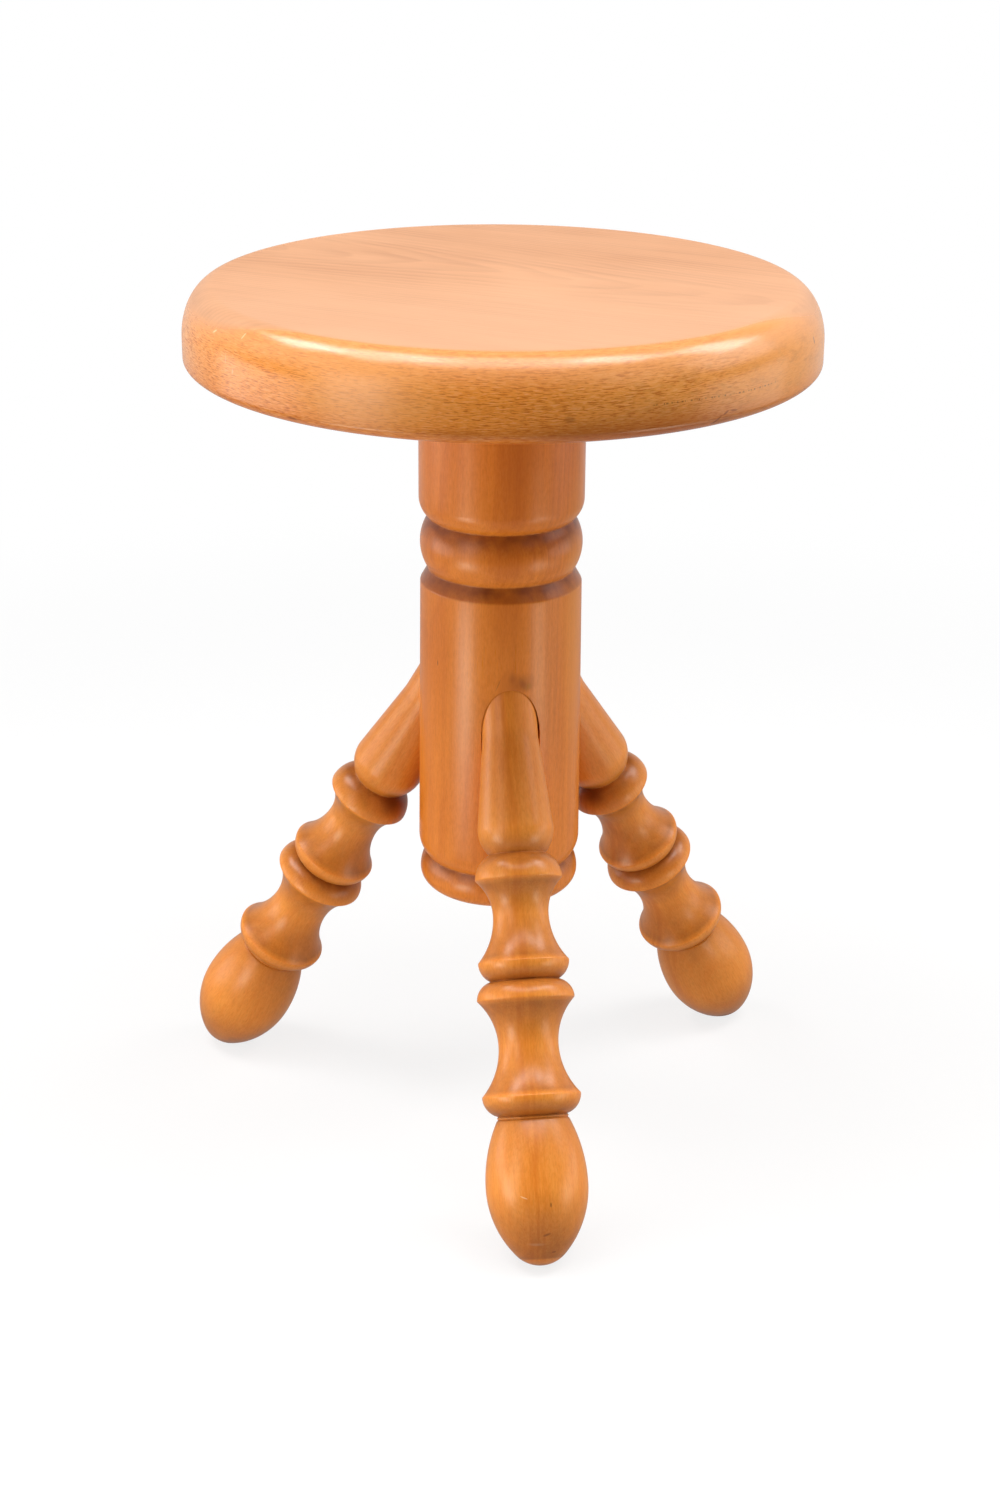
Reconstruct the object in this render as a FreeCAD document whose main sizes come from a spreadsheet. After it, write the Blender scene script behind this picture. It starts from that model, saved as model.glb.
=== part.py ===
import FreeCAD, Part
import math
import os

import Sketcher

# A turned beech stool: a thick round seat on a turned column, and three turned legs that splay out of it.
# Frame: the floor is Z = 0, the column stands on the Z axis, and the first leg points along -Y.
# Lengths are in millimetres and angles in degrees.

doc = FreeCAD.newDocument("tripod_stool")

sizes = {
    "overall_height": 450.0,
    # Seat: a solid disc with rounded edges
    "seat_diameter": 312.0,
    "seat_thickness": 41.0,
    "seat_top_edge_width": 16.0,
    "seat_top_edge_drop": 24.0,
    "seat_under_edge_width": 16.0,
    "seat_under_edge_rise": 7.0,
    # Column, from its foot up: the rise to each corner of the turning and the radius there
    "base_radius": 33.0,
    "base_bead_lower_rise": 8.5,
    "base_bead_radius": 41.1,
    "base_bead_upper_rise": 9.7,
    "base_neck_radius": 38.0,
    "drum_heel_rise": 9.8,
    "drum_heel_radius": 41.8,
    "drum_length": 139.3,
    "drum_head_radius": 40.9,
    "shoulder_rise": 7.0,
    "shoulder_neck_radius": 36.9,
    "bead_lower_rise": 13.5,
    "bead_radius": 41.0,
    "bead_upper_rise": 13.4,
    "collar_neck_radius": 36.7,
    "collar_round_rise": 10.0,
    "collar_radius": 41.6,
    # Round tenon that holds the seat
    "seat_tenon_radius": 25.0,
    "seat_tenon_length": 27.0,
    # Legs: the slant of their sockets, and where the three slanting lines meet the column's axis
    "leg_count": 3,
    "leg_splay_angle": 30.3,
    "socket_centre_rise": 163.6,
    # Leg, from that meeting point down: the run to each corner of the turning and the radius there
    "leg_tenon_start": 38.0,
    "leg_tenon_radius": 14.1,
    "leg_tenon_length": 41.0,
    "leg_barrel_length": 45.5,
    "leg_barrel_radius": 19.1,
    "leg_barrel_round_run": 12.6,
    "leg_barrel_neck_radius": 14.2,
    "ring_one_top_run": 12.6,
    "ring_one_radius": 21.8,
    "cove_one_upper_run": 17.8,
    "cove_one_radius": 13.9,
    "cove_one_lower_run": 23.2,
    "ring_two_radius": 22.7,
    "ring_two_under_run": 9.4,
    "ring_neck_radius": 17.0,
    "ring_three_top_run": 9.4,
    "ring_three_radius": 24.3,
    "cove_two_upper_run": 22.6,
    "cove_two_radius": 14.9,
    "cove_two_lower_run": 24.6,
    "ring_four_radius": 24.5,
    "ring_four_under_run": 9.9,
    "foot_neck_radius": 16.9,
    "foot_upper_run": 34.2,
    "foot_radius": 25.3,
    "foot_lower_run": 38.8,
    "foot_tip_radius": 16.5,
    "foot_wear_depth": 0.8,
    # Fits and small edges
    "glue_gap": 0.2,
    "socket_gap": 0.35,
    "end_gap": 1.5,
    "tenon_chamfer": 2.0,
    "edge_round": 0.8,
    "overrun": 12.0,
}

sheet = doc.addObject("Spreadsheet::Sheet", "Sizes")
for row, (name, value) in enumerate(sizes.items(), start=1):
    sheet.set(f"A{row}", name)
    sheet.set(f"B{row}", str(value))
    sheet.setAlias(f"B{row}", name)
doc.recompute()


def total(*names):
    return "(" + " + ".join("Sizes." + name for name in names) + ")"


# Distances that follow from the sizes above, as expressions on the sheet's cells
splay = total("leg_splay_angle")
barrel_start = total("leg_tenon_start", "leg_tenon_length")
barrel_end = total("leg_tenon_start", "leg_tenon_length", "leg_barrel_length")
leg_runs = (
    "leg_tenon_start", "leg_tenon_length", "leg_barrel_length", "leg_barrel_round_run",
    "ring_one_top_run", "cove_one_upper_run", "cove_one_lower_run", "ring_two_under_run",
    "ring_three_top_run", "cove_two_upper_run", "cove_two_lower_run", "ring_four_under_run",
    "foot_upper_run", "foot_lower_run",
)
leg_end = total(*leg_runs)
pivot_height = (
    f"(({leg_end} - Sizes.foot_tip_radius) * cos({splay})"
    " + Sizes.foot_tip_radius - Sizes.foot_wear_depth)"
)
column_foot_height = f"({pivot_height} - Sizes.socket_centre_rise)"
seat_foot_height = "(Sizes.overall_height - Sizes.seat_thickness)"
column_height = f"({seat_foot_height} - {column_foot_height})"


# How near an edge must lie to its place, as a share of its round
near_share = 0.1


def number(expression):
    return float(sheet.evalExpression(expression))


def new_body(name):
    body = doc.addObject("PartDesign::Body", name)
    body.Label = name
    return body


def new_sketch(body, name, role):
    sketch = body.newObject("Sketcher::SketchObject", name)
    plane = [feature for feature in body.Origin.OriginFeatures if feature.Role == role][0]
    sketch.AttachmentSupport = [(plane, "")]
    sketch.MapMode = "FlatFace"
    return sketch


def pin(sketch, geometry, point, corner):
    """Ties a point to its corner, each distance bound to the sheet."""
    x, y = corner
    if x == "0":
        sketch.addConstraint(Sketcher.Constraint("PointOnObject", geometry, point, -2))
    else:
        index = sketch.addConstraint(
            Sketcher.Constraint("DistanceX", -1, 1, geometry, point, number(x)))
        sketch.setExpression(f"Constraints[{index}]", x)
    if y == "0":
        sketch.addConstraint(Sketcher.Constraint("PointOnObject", geometry, point, -1))
    else:
        index = sketch.addConstraint(
            Sketcher.Constraint("DistanceY", -1, 1, geometry, point, number(y)))
        sketch.setExpression(f"Constraints[{index}]", y)


def place(corner):
    return FreeCAD.Vector(number(corner[0]), number(corner[1]), 0)


def arc_between(start, end, centre):
    """The short arc between two points about a centre, run anticlockwise as sketches keep their arcs."""
    whole = Part.Circle(centre, FreeCAD.Vector(0, 0, 1), start.distanceToPoint(centre))
    return Part.ArcOfCircle(whole, *short_span(whole, start, end))


def short_span(whole, start, end):
    """The two parameters on a closed curve between which the way from one point to the other is short."""
    angles = sorted([whole.parameter(start), whole.parameter(end)])
    if angles[1] - angles[0] > math.pi:
        angles = [angles[1], angles[0] + 2 * math.pi]
    return angles


def level_centre(level, other):
    """Centre of the arc that touches both points and runs along the turning's axis at the first."""
    across = level.x - other.x
    along = level.y - other.y
    return level - FreeCAD.Vector((across**2 + along**2) / (2 * across), 0, 0)


def add_edge(sketch, kind, start, end):
    """Adds one edge of an outline, of a named kind or about a centre, and says which end is its start."""
    if isinstance(kind, FreeCAD.Vector):
        shape = arc_between(start, end, kind)
    elif kind == "line":
        shape = Part.LineSegment(start, end)
    elif kind == "level_start":
        shape = arc_between(start, end, level_centre(start, end))
    elif kind == "level_end":
        shape = arc_between(start, end, level_centre(end, start))
    elif kind == "ellipse_start_level":
        shape = quarter_ellipse(FreeCAD.Vector(end.x, start.y, 0), start, end)
    elif kind == "ellipse_end_level":
        shape = quarter_ellipse(FreeCAD.Vector(start.x, end.y, 0), end, start)
    index = sketch.addGeometry(shape, False)
    at_start = sketch.Geometry[index].StartPoint.distanceToPoint(start)
    at_end = sketch.Geometry[index].EndPoint.distanceToPoint(start)
    first, last = (1, 2) if at_start < at_end else (2, 1)
    if kind == "level_start":
        sketch.addConstraint(Sketcher.Constraint("Horizontal", index, 3, index, first))
    if kind == "level_end":
        sketch.addConstraint(Sketcher.Constraint("Horizontal", index, 3, index, last))
    return index, first, last


def quarter_ellipse(centre, side, cap):
    """A quarter of an ellipse between its side point, level with the centre, and its cap, in line with it."""
    across = side - centre
    along = cap - centre
    longer, shorter = (across, along) if across.Length > along.Length else (along, across)
    if longer.cross(shorter).z < 0:
        shorter = -shorter
    whole = Part.Ellipse(centre + longer, centre + shorter, centre)
    return Part.ArcOfEllipse(whole, *short_span(whole, side, cap))


def hold_ellipse(sketch, index, centre):
    """Keeps an ellipse's centre on its corner and its axes square to the sketch."""
    pin(sketch, index, 3, centre)
    upright = abs(sketch.Geometry[index].XAxis.y) > abs(sketch.Geometry[index].XAxis.x)
    first_inner = sketch.GeometryCount
    sketch.exposeInternalGeometry(index)
    sketch.addConstraint(Sketcher.Constraint("Vertical" if upright else "Horizontal", first_inner))


def outline(sketch, corners, kinds):
    """A closed outline: one edge of the given kind from each corner to the next.

    A corner given as a pair of expressions is pinned. A plain point is only where two arcs touch.
    """
    points = [corner if isinstance(corner, FreeCAD.Vector) else place(corner) for corner in corners]
    edges = []
    for index, kind in enumerate(kinds):
        edges.append(add_edge(sketch, kind, points[index], points[(index + 1) % len(points)]))
    for index, (geometry, first, last) in enumerate(edges):
        previous, _, previous_last = edges[index - 1]
        touching = isinstance(corners[index], FreeCAD.Vector)
        meeting = "Tangent" if touching else "Coincident"
        sketch.addConstraint(Sketcher.Constraint(meeting, previous, previous_last, geometry, first))
        if not touching:
            pin(sketch, geometry, first, corners[index])
    return edges


def revolve(body, name, sketch, feature_type="PartDesign::Revolution", axis="V_Axis"):
    feature = body.newObject(feature_type, name)
    feature.Profile = sketch
    feature.ReferenceAxis = (sketch, [axis])
    feature.Angle = 360
    sketch.Visibility = False
    doc.recompute()
    return feature


def soften(body, name, base, rings):
    """Rounds the turned edges that lie at the given heights and radii."""
    wanted = [(number(height), number(radius)) for height, radius in rings]
    reach = number("Sizes.edge_round") * near_share
    edge_names = []
    for index, edge in enumerate(base.Shape.Edges, start=1):
        if edge.Degenerated or not isinstance(edge.Curve, Part.Circle):
            continue
        for height, radius in wanted:
            if abs(edge.Curve.Center.z - height) + abs(edge.Curve.Radius - radius) < reach:
                edge_names.append(f"Edge{index}")
    fillet = body.newObject("PartDesign::Fillet", name)
    fillet.Base = (base, edge_names)
    fillet.setExpression("Radius", "Sizes.edge_round")
    doc.recompute()
    return fillet


def make_seat():
    body = new_body("seat")
    rim = "(Sizes.seat_diameter / 2)"
    under_flat = f"({rim} - Sizes.seat_under_edge_width)"
    under_round = "Sizes.seat_under_edge_rise"
    top_round = "(Sizes.seat_thickness - Sizes.seat_top_edge_drop)"
    top_flat = f"({rim} - Sizes.seat_top_edge_width)"
    top = "Sizes.seat_thickness"
    corners = [
        ("0", "0"), (under_flat, "0"), (rim, under_round), (rim, top_round), (top_flat, top), ("0", top),
    ]
    kinds = ["line", "ellipse_end_level", "line", "ellipse_start_level", "line", "line"]
    sketch = new_sketch(body, "seat_profile", "XZ_Plane")
    edges = outline(sketch, corners, kinds)
    hold_ellipse(sketch, edges[1][0], (under_flat, under_round))
    hold_ellipse(sketch, edges[3][0], (top_flat, top_round))
    disc = revolve(body, "seat_disc", sketch)

    # Blind round mortise in the underside for the column's tenon
    sketch = new_sketch(body, "seat_mortise_circle", "XY_Plane")
    reach = number("Sizes.seat_tenon_radius + Sizes.glue_gap")
    sketch.addGeometry(Part.Circle(FreeCAD.Vector(), FreeCAD.Vector(0, 0, 1), reach), False)
    sketch.addConstraint(Sketcher.Constraint("Coincident", 0, 3, -1, 1))
    index = sketch.addConstraint(Sketcher.Constraint("Radius", 0, reach))
    sketch.setExpression(f"Constraints[{index}]", "Sizes.seat_tenon_radius + Sizes.glue_gap")
    mortise = body.newObject("PartDesign::Pocket", "seat_mortise")
    mortise.Profile = sketch
    mortise.Reversed = True
    mortise.setExpression("Length", "Sizes.seat_tenon_length + Sizes.end_gap")
    sketch.Visibility = False
    body.setExpression("Placement.Base.z", seat_foot_height)
    doc.recompute()
    print("seat mortise takes", round(disc.Shape.Volume - mortise.Shape.Volume), "mm3")
    return body


def make_column():
    body = new_body("column")
    # Each row: the rise from the corner before, the radius there, and the edge that leads to it
    turning = [
        ("base_bead_lower_rise", "base_bead_radius", "level_end"),
        ("base_bead_upper_rise", "base_neck_radius", "level_start"),
        ("drum_heel_rise", "drum_heel_radius", "level_end"),
        ("drum_length", "drum_head_radius", "line"),
        ("shoulder_rise", "shoulder_neck_radius", "line"),
        ("bead_lower_rise", "bead_radius", "level_end"),
        ("bead_upper_rise", "collar_neck_radius", "level_start"),
        ("collar_round_rise", "collar_radius", "level_end"),
    ]
    corners = [("0", "0"), ("Sizes.base_radius", "0")]
    kinds = ["line"]
    rises = []
    for rise, radius, kind in turning:
        rises.append(rise)
        corners.append(("Sizes." + radius, total(*rises)))
        kinds.append(kind)
    tenon_top = f"({column_height} + Sizes.seat_tenon_length)"
    corners += [
        ("Sizes.collar_radius", column_height),
        ("Sizes.seat_tenon_radius", column_height),
        ("Sizes.seat_tenon_radius", f"({tenon_top} - Sizes.tenon_chamfer)"),
        ("(Sizes.seat_tenon_radius - Sizes.tenon_chamfer)", tenon_top),
        ("0", tenon_top),
    ]
    kinds += ["line"] * 6
    sketch = new_sketch(body, "column_profile", "XZ_Plane")
    outline(sketch, corners, kinds)
    turned = revolve(body, "column_turning", sketch)
    shoulder = total("base_bead_lower_rise", "base_bead_upper_rise", "drum_heel_rise", "drum_length")
    eased = soften(body, "column_eased_edge", turned, [(shoulder, "Sizes.drum_head_radius")])

    # One slanting socket, reamed to the leg's tenon and the taper below it, then turned round the column
    def slanted(run, reach):
        across = f"(-1 * {run} * sin({splay}) - {reach} * cos({splay}))"
        up = f"(Sizes.socket_centre_rise - {run} * cos({splay}) + {reach} * sin({splay}))"
        return across, up

    floor_run = "(Sizes.leg_tenon_start - Sizes.end_gap)"
    bore = "(Sizes.leg_tenon_radius + Sizes.socket_gap)"
    mouth = "(Sizes.leg_barrel_radius + Sizes.socket_gap)"
    sketch = new_sketch(body, "socket_profile", "YZ_Plane")
    corners = [
        slanted(floor_run, "0"), slanted(floor_run, bore), slanted(barrel_start, bore),
        slanted(barrel_end, mouth), slanted(barrel_end, "0"),
    ]
    edges = outline(sketch, corners, ["line"] * 5)
    centre_line = sketch.addGeometry(Part.LineSegment(place(corners[0]), place(corners[4])), True)
    sketch.addConstraint(Sketcher.Constraint("Coincident", centre_line, 1, edges[0][0], edges[0][1]))
    sketch.addConstraint(Sketcher.Constraint("Coincident", centre_line, 2, edges[4][0], edges[4][1]))
    socket = revolve(body, "leg_socket", sketch, "PartDesign::Groove", "Axis0")
    print("one socket takes", round(eased.Shape.Volume - socket.Shape.Volume), "mm3")

    sockets = body.newObject("PartDesign::PolarPattern", "leg_sockets")
    sockets.Originals = [socket]
    upright = [feature for feature in body.Origin.OriginFeatures if feature.Role == "Z_Axis"][0]
    sockets.Axis = (upright, [""])
    sockets.Angle = 360
    sockets.setExpression("Occurrences", "Sizes.leg_count")
    body.Tip = sockets
    body.setExpression("Placement.Base.z", column_foot_height)
    doc.recompute()
    print("all sockets take", round(eased.Shape.Volume - sockets.Shape.Volume), "mm3")
    return body


def foot_turn():
    """Where the foot's side passes into its round tip, both arcs touching there."""
    tip_centre = number(f"{leg_end} - Sizes.foot_tip_radius")
    widest = number(total(*leg_runs[:-1]))
    radius = number("Sizes.foot_radius")
    tip = number("Sizes.foot_tip_radius")
    drop = tip_centre - widest
    side = (drop**2 + radius**2 - tip**2) / (2 * (radius - tip))
    lean = (side - radius) / (side - tip)
    point = FreeCAD.Vector(tip * lean, tip_centre + tip * drop / (side - tip), 0)
    return point, FreeCAD.Vector(radius - side, widest, 0), FreeCAD.Vector(0, tip_centre, 0)


def make_leg(name, turn):
    body = new_body(name)
    # Each row: the run from the corner before, the radius there, and the edge that leads to it
    turning = [
        ("leg_tenon_length", "leg_tenon_radius", "line"),
        ("leg_barrel_length", "leg_barrel_radius", "line"),
        ("leg_barrel_round_run", "leg_barrel_neck_radius", "level_start"),
        ("ring_one_top_run", "ring_one_radius", "level_end"),
        ("cove_one_upper_run", "cove_one_radius", "level_end"),
        ("cove_one_lower_run", "ring_two_radius", "level_start"),
        ("ring_two_under_run", "ring_neck_radius", "level_start"),
        ("ring_three_top_run", "ring_three_radius", "level_end"),
        ("cove_two_upper_run", "cove_two_radius", "level_end"),
        ("cove_two_lower_run", "ring_four_radius", "level_start"),
        ("ring_four_under_run", "foot_neck_radius", "level_start"),
        ("foot_upper_run", "foot_radius", "level_end"),
    ]
    start = "Sizes.leg_tenon_start"
    corners = [
        ("0", start),
        ("(Sizes.leg_tenon_radius - Sizes.tenon_chamfer)", start),
        ("Sizes.leg_tenon_radius", total("leg_tenon_start", "tenon_chamfer")),
    ]
    kinds = ["line", "line"]
    runs = ["leg_tenon_start"]
    rings = []
    for run, radius, kind in turning:
        runs.append(run)
        corners.append(("Sizes." + radius, total(*runs)))
        kinds.append(kind)
        if radius.startswith("ring_") and radius != "ring_neck_radius":
            rings.append((total(*runs), "Sizes." + radius))

    # The foot: its side arc touches the round tip, whose centre is on the leg's axis
    turn_point, side_centre, tip_centre = foot_turn()
    corners += [turn_point, ("0", leg_end)]
    kinds += [side_centre, tip_centre, "line"]
    sketch = new_sketch(body, name + "_profile", "XZ_Plane")
    edges = outline(sketch, corners, kinds)
    side, side_first, _ = edges[-3]
    tip = edges[-2][0]
    sketch.addConstraint(Sketcher.Constraint("Horizontal", side, 3, side, side_first))
    sketch.addConstraint(Sketcher.Constraint("PointOnObject", tip, 3, -2))
    index = sketch.addConstraint(Sketcher.Constraint("Radius", tip, number("Sizes.foot_tip_radius")))
    sketch.setExpression(f"Constraints[{index}]", "Sizes.foot_tip_radius")
    turned = revolve(body, name + "_turning", sketch)
    eased = soften(body, name + "_eased_edges", turned, rings)

    # The floor takes a worn flat off the foot: the cut's top edge is the floor, seen in the leg's own slant
    def floor_corner(out, down):
        across = f"({out} * cos({splay}) - ({pivot_height} + {down}) * sin({splay}))"
        along = f"({out} * sin({splay}) + ({pivot_height} + {down}) * cos({splay}))"
        return across, along

    middle = f"(({leg_end} - Sizes.foot_tip_radius) * sin({splay}))"
    inner = f"({middle} - Sizes.foot_radius)"
    outer = f"({middle} + Sizes.foot_radius)"
    sketch = new_sketch(body, name + "_floor_line", "YZ_Plane")
    corners = [
        floor_corner(inner, "0"), floor_corner(outer, "0"),
        floor_corner(outer, "Sizes.overrun"), floor_corner(inner, "Sizes.overrun"),
    ]
    outline(sketch, corners, ["line"] * 4)
    flat = body.newObject("PartDesign::Pocket", name + "_worn_flat")
    flat.Profile = sketch
    flat.SideType = "Symmetric"
    flat.setExpression("Length", "Sizes.foot_radius * 2")
    sketch.Visibility = False

    lift = f"create(<<vector>>; 0; 0; {pivot_height})"
    lean = f"create(<<rotation>>; {turn}; 0; 180 - {splay})"
    body.setExpression("Placement", f"create(<<placement>>; {lift}; {lean})")
    doc.recompute()
    print(name, "floor flat takes", round(eased.Shape.Volume - flat.Shape.Volume, 1), "mm3")
    return body


leg_names = ["leg_front", "leg_right", "leg_left"]
bodies = [make_seat(), make_column()]
for step in range(int(number("Sizes.leg_count"))):
    leg_name = leg_names[step] if step < len(leg_names) else f"leg_{step + 1}"
    bodies.append(make_leg(leg_name, f"(360 / Sizes.leg_count * {step})"))
doc.recompute()

for item in doc.Objects:
    if "Invalid" in item.State or "Error" in item.State:
        raise RuntimeError(f"{item.Name} did not recompute: {item.State}")
for body in bodies:
    if body.Shape.isNull() or not body.Shape.isValid() or len(body.Shape.Solids) != 1:
        raise RuntimeError(f"{body.Label} is not one valid solid")

os.makedirs("parts", exist_ok=True)
for body in bodies:
    body.Shape.exportStep(f"parts/{body.Label}.step")
    box = body.Shape.BoundBox
    corners = [round(value, 2) for value in (box.XMin, box.YMin, box.ZMin, box.XMax, box.YMax, box.ZMax)]
    print(body.Label, corners, "volume", round(body.Shape.Volume))
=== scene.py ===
import bpy
import bmesh
import math
import numpy as np
from mathutils import Matrix, Vector


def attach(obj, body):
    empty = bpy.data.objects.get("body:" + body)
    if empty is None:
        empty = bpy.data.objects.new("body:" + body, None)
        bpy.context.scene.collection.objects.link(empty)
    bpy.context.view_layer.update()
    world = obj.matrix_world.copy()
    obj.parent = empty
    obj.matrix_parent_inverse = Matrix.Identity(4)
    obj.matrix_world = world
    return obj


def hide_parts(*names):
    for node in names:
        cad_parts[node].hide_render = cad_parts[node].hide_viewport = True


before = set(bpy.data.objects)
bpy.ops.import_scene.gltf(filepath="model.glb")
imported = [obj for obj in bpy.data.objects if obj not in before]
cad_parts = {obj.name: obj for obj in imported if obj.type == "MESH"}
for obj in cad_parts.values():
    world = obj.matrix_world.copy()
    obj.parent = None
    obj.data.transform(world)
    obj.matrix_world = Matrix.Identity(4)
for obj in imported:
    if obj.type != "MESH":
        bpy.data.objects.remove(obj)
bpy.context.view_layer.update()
mm = 0.001
print("loaded", len(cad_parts), "nodes")

# A turning is a profile, a list of (radius, height) pairs in millimetres, carried round an axis.
profileDetail = dict(
    step=0.1,        # spacing of the first fine profile, mm
    easing=0.34,     # width of the soft round that sanding leaves on every turned edge, mm
    bellReach=4,     # how many of those widths the averaging curve reaches to each side
    longest=5.0,     # longest stretch between two rings, mm
    turn=6.0,        # most that the profile may turn between two rings, degrees
    same=1e-9,       # points closer than this are one, mm
)


def straightEdge(start, end):
    # start * (1 - t) + end * t, for t from 0 to 1
    count = max(2, int(math.dist(start, end) / profileDetail["step"]))
    t = np.linspace(0, 1, count)[:, None]
    return np.array(start) * (1 - t) + np.array(end) * t


def levelArc(level, other):
    # circle through both points whose centre is level with the first, so it runs along the axis there
    across, along = level[0] - other[0], level[1] - other[1]
    radius = (across**2 + along**2) / (2 * across)
    centre = np.array([level[0] - radius, level[1]])
    startAngle = 0 if radius > 0 else math.pi
    reach = np.array(other) - centre
    endAngle = math.atan2(reach[1], reach[0])
    if radius < 0:
        endAngle %= 2 * math.pi
    count = max(4, int(abs(radius * (endAngle - startAngle)) / profileDetail["step"]))
    angle = np.linspace(startAngle, endAngle, count)
    return centre + abs(radius) * np.stack([np.cos(angle), np.sin(angle)], axis=1)


def roundCorner(start, end, centre, width, height):
    # quarter of an ellipse: centre + (width * cos, height * sin) of an angle that goes from start to end
    angles = [math.atan2((p[1] - centre[1]) / height, (p[0] - centre[0]) / width) for p in (start, end)]
    count = int(math.pi / 2 * max(width, height) / profileDetail["step"])
    angle = np.linspace(*angles, count)
    return np.array(centre) + np.stack([width * np.cos(angle), height * np.sin(angle)], axis=1)


def profileFrom(start, rows):
    # each row gives the rise from the corner before, the radius there, and the edge between them
    here, parts = tuple(start), []
    for rise, radius, kind in rows:
        there = (radius, here[1] + rise)
        if kind == "line":
            parts.append(straightEdge(here, there))
        elif kind == "levelStart":
            parts.append(levelArc(here, there))
        elif kind == "levelEnd":
            parts.append(levelArc(there, here)[::-1])
        here = there
    return np.concatenate(parts), here


def evenly(points, spacing):
    # the same curve with points at equal distances along it
    run = np.concatenate([[0], np.cumsum(np.linalg.norm(np.diff(points, axis=0), axis=1))])
    keep = np.concatenate([[True], np.diff(run) > profileDetail["same"]])
    run, points = run[keep], points[keep]
    at = np.linspace(0, run[-1], max(2, int(run[-1] / spacing) + 1))
    return np.stack([np.interp(at, run, points[:, i]) for i in range(points.shape[1])], axis=1), at


def easedProfile(points, grime):
    # the profile averaged with a narrow bell curve, so corners get a small round, then thinned:
    # rings stay close where it turns and spread where it is straight
    easing, step = profileDetail["easing"], profileDetail["step"]
    fine, at = evenly(points, step)
    half = int(profileDetail["bellReach"] * easing / step)
    bell = np.exp(-0.5 * (np.arange(-half, half + 1) * step / easing) ** 2)
    bell /= bell.sum()
    padded = np.pad(fine, ((half, half), (0, 0)), mode="reflect", reflect_type="odd")
    soft = np.stack([np.convolve(padded[:, i], bell, mode="valid") for i in range(2)], axis=1)
    heading = np.unwrap(np.arctan2(*np.gradient(soft, axis=0).T[::-1]))
    turning = np.abs(np.gradient(heading, at))
    density = 1 / profileDetail["longest"] + turning / math.radians(profileDetail["turn"])
    spread = np.convolve(np.pad(density, half, mode="edge"), bell, mode="valid")
    total = np.concatenate([[0], np.cumsum((spread[1:] + spread[:-1]) / 2 * np.diff(at))])
    pick = np.interp(np.linspace(0, total[-1], int(total[-1]) + 2), total, at)
    dark = shadeAndDirtAlong(soft, at, grime)
    return np.stack([np.interp(pick, at, values) for values in (soft[:, 0], soft[:, 1], dark)], axis=1)


def shadeAndDirtAlong(soft, at, grime):
    # 0 to 1, painted shade with some dirt in the grooves: how far a spot lies below the highest place
    # near it, over a depth that counts as full, plus a share for how much it faces up; both blurred a little
    radius, reach = soft[:, 0], int(grime["reach"] / profileDetail["step"])
    padded = np.pad(radius, reach, mode="edge")
    highest = np.lib.stride_tricks.sliding_window_view(padded, 2 * reach + 1).max(axis=1)
    below = (highest - radius) / grime["depth"]
    facingUp = -grime["upwards"] * np.gradient(radius, at)
    dark = np.clip(below + grime["upShare"] * facingUp, 0, 1) * (radius > grime["fromRadius"])
    half = int(grime["blur"] / profileDetail["step"])
    bell = np.hanning(2 * half + 3)[1:-1]
    return np.convolve(np.pad(dark, half, mode="edge"), bell / bell.sum(), mode="valid")


def turnedGrid(profile, columns, angles=None):
    # every profile point carried round the axis: (r cos, r sin, height, painted shade and dirt)
    angle = np.linspace(0, 2 * math.pi, columns + 1) if angles is None else angles
    radius, height, dark = (profile[:, i][:, None] for i in range(3))
    level = 0 * angle
    return np.stack([radius * np.cos(angle), radius * np.sin(angle), height + level, dark + level], axis=2)


def gridQuads(rows, cols, first=0):
    # the corners of every quad of a grid whose points are counted row by row from first
    index = first + np.arange(rows * cols).reshape(rows, cols)
    return np.stack([index[:-1, :-1], index[:-1, 1:], index[1:, 1:], index[1:, :-1]], axis=2).reshape(-1, 4)


joining = dict(seam=2e-6, sliver=1e-7)     # points and edges nearer or shorter than this are merged, metres


def solidFrom(name, grids, body="root"):
    # grids of points become quads; shared seams and poles are merged and the faces turned outwards.
    # A fourth number at each point, where there is one, is kept as how dark the grooves are painted there:
    # painted shade with some dirt.
    points, faces, base = [], [], 0
    for grid in grids:
        rows, cols = grid.shape[:2]
        points.append(np.pad(grid, ((0, 0), (0, 0), (0, 4 - grid.shape[2]))).reshape(-1, 4))
        faces.append(gridQuads(rows, cols, base))
        base += rows * cols
    points, faces = np.concatenate(points), np.concatenate(faces)
    mesh = bpy.data.meshes.new(name)
    mesh.from_pydata((points[:, :3] * mm).tolist(), [], faces.tolist())
    mesh.attributes.new("grime", "FLOAT", "POINT").data.foreach_set("value", points[:, 3])
    work = bmesh.new()
    work.from_mesh(mesh)
    bmesh.ops.remove_doubles(work, verts=work.verts, dist=joining["seam"])
    bmesh.ops.dissolve_degenerate(work, edges=work.edges, dist=joining["sliver"])
    bmesh.ops.recalc_face_normals(work, faces=work.faces)
    openEdges = sum(1 for edge in work.edges if not edge.is_manifold)
    work.to_mesh(mesh)
    work.free()
    mesh.polygons.foreach_set("use_smooth", np.ones(len(mesh.polygons), dtype=bool))
    piece = bpy.data.objects.new(name, mesh)
    bpy.context.scene.collection.objects.link(piece)
    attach(piece, body)
    print(name, "faces", len(mesh.polygons), "open edges", openEdges)
    return piece


stance = dict(
    overallHeight=450.0,
    splay=30.3,            # slant of the legs, degrees from upright
    legEnd=339.6,          # run from where the legs' lines meet to the tip of a foot
    footTip=16.5,          # radius of the foot's round tip
    footWear=0.8,
    socketCentre=163.6,    # rise of that meeting point above the column's foot
)
splay = math.radians(stance["splay"])
# the round tip rests on the floor, less what is worn off it
tipCentre = stance["footTip"] - stance["footWear"]
pivotHeight = (stance["legEnd"] - stance["footTip"]) * math.cos(splay) + tipCentre
columnFoot = pivotHeight - stance["socketCentre"]

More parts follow.
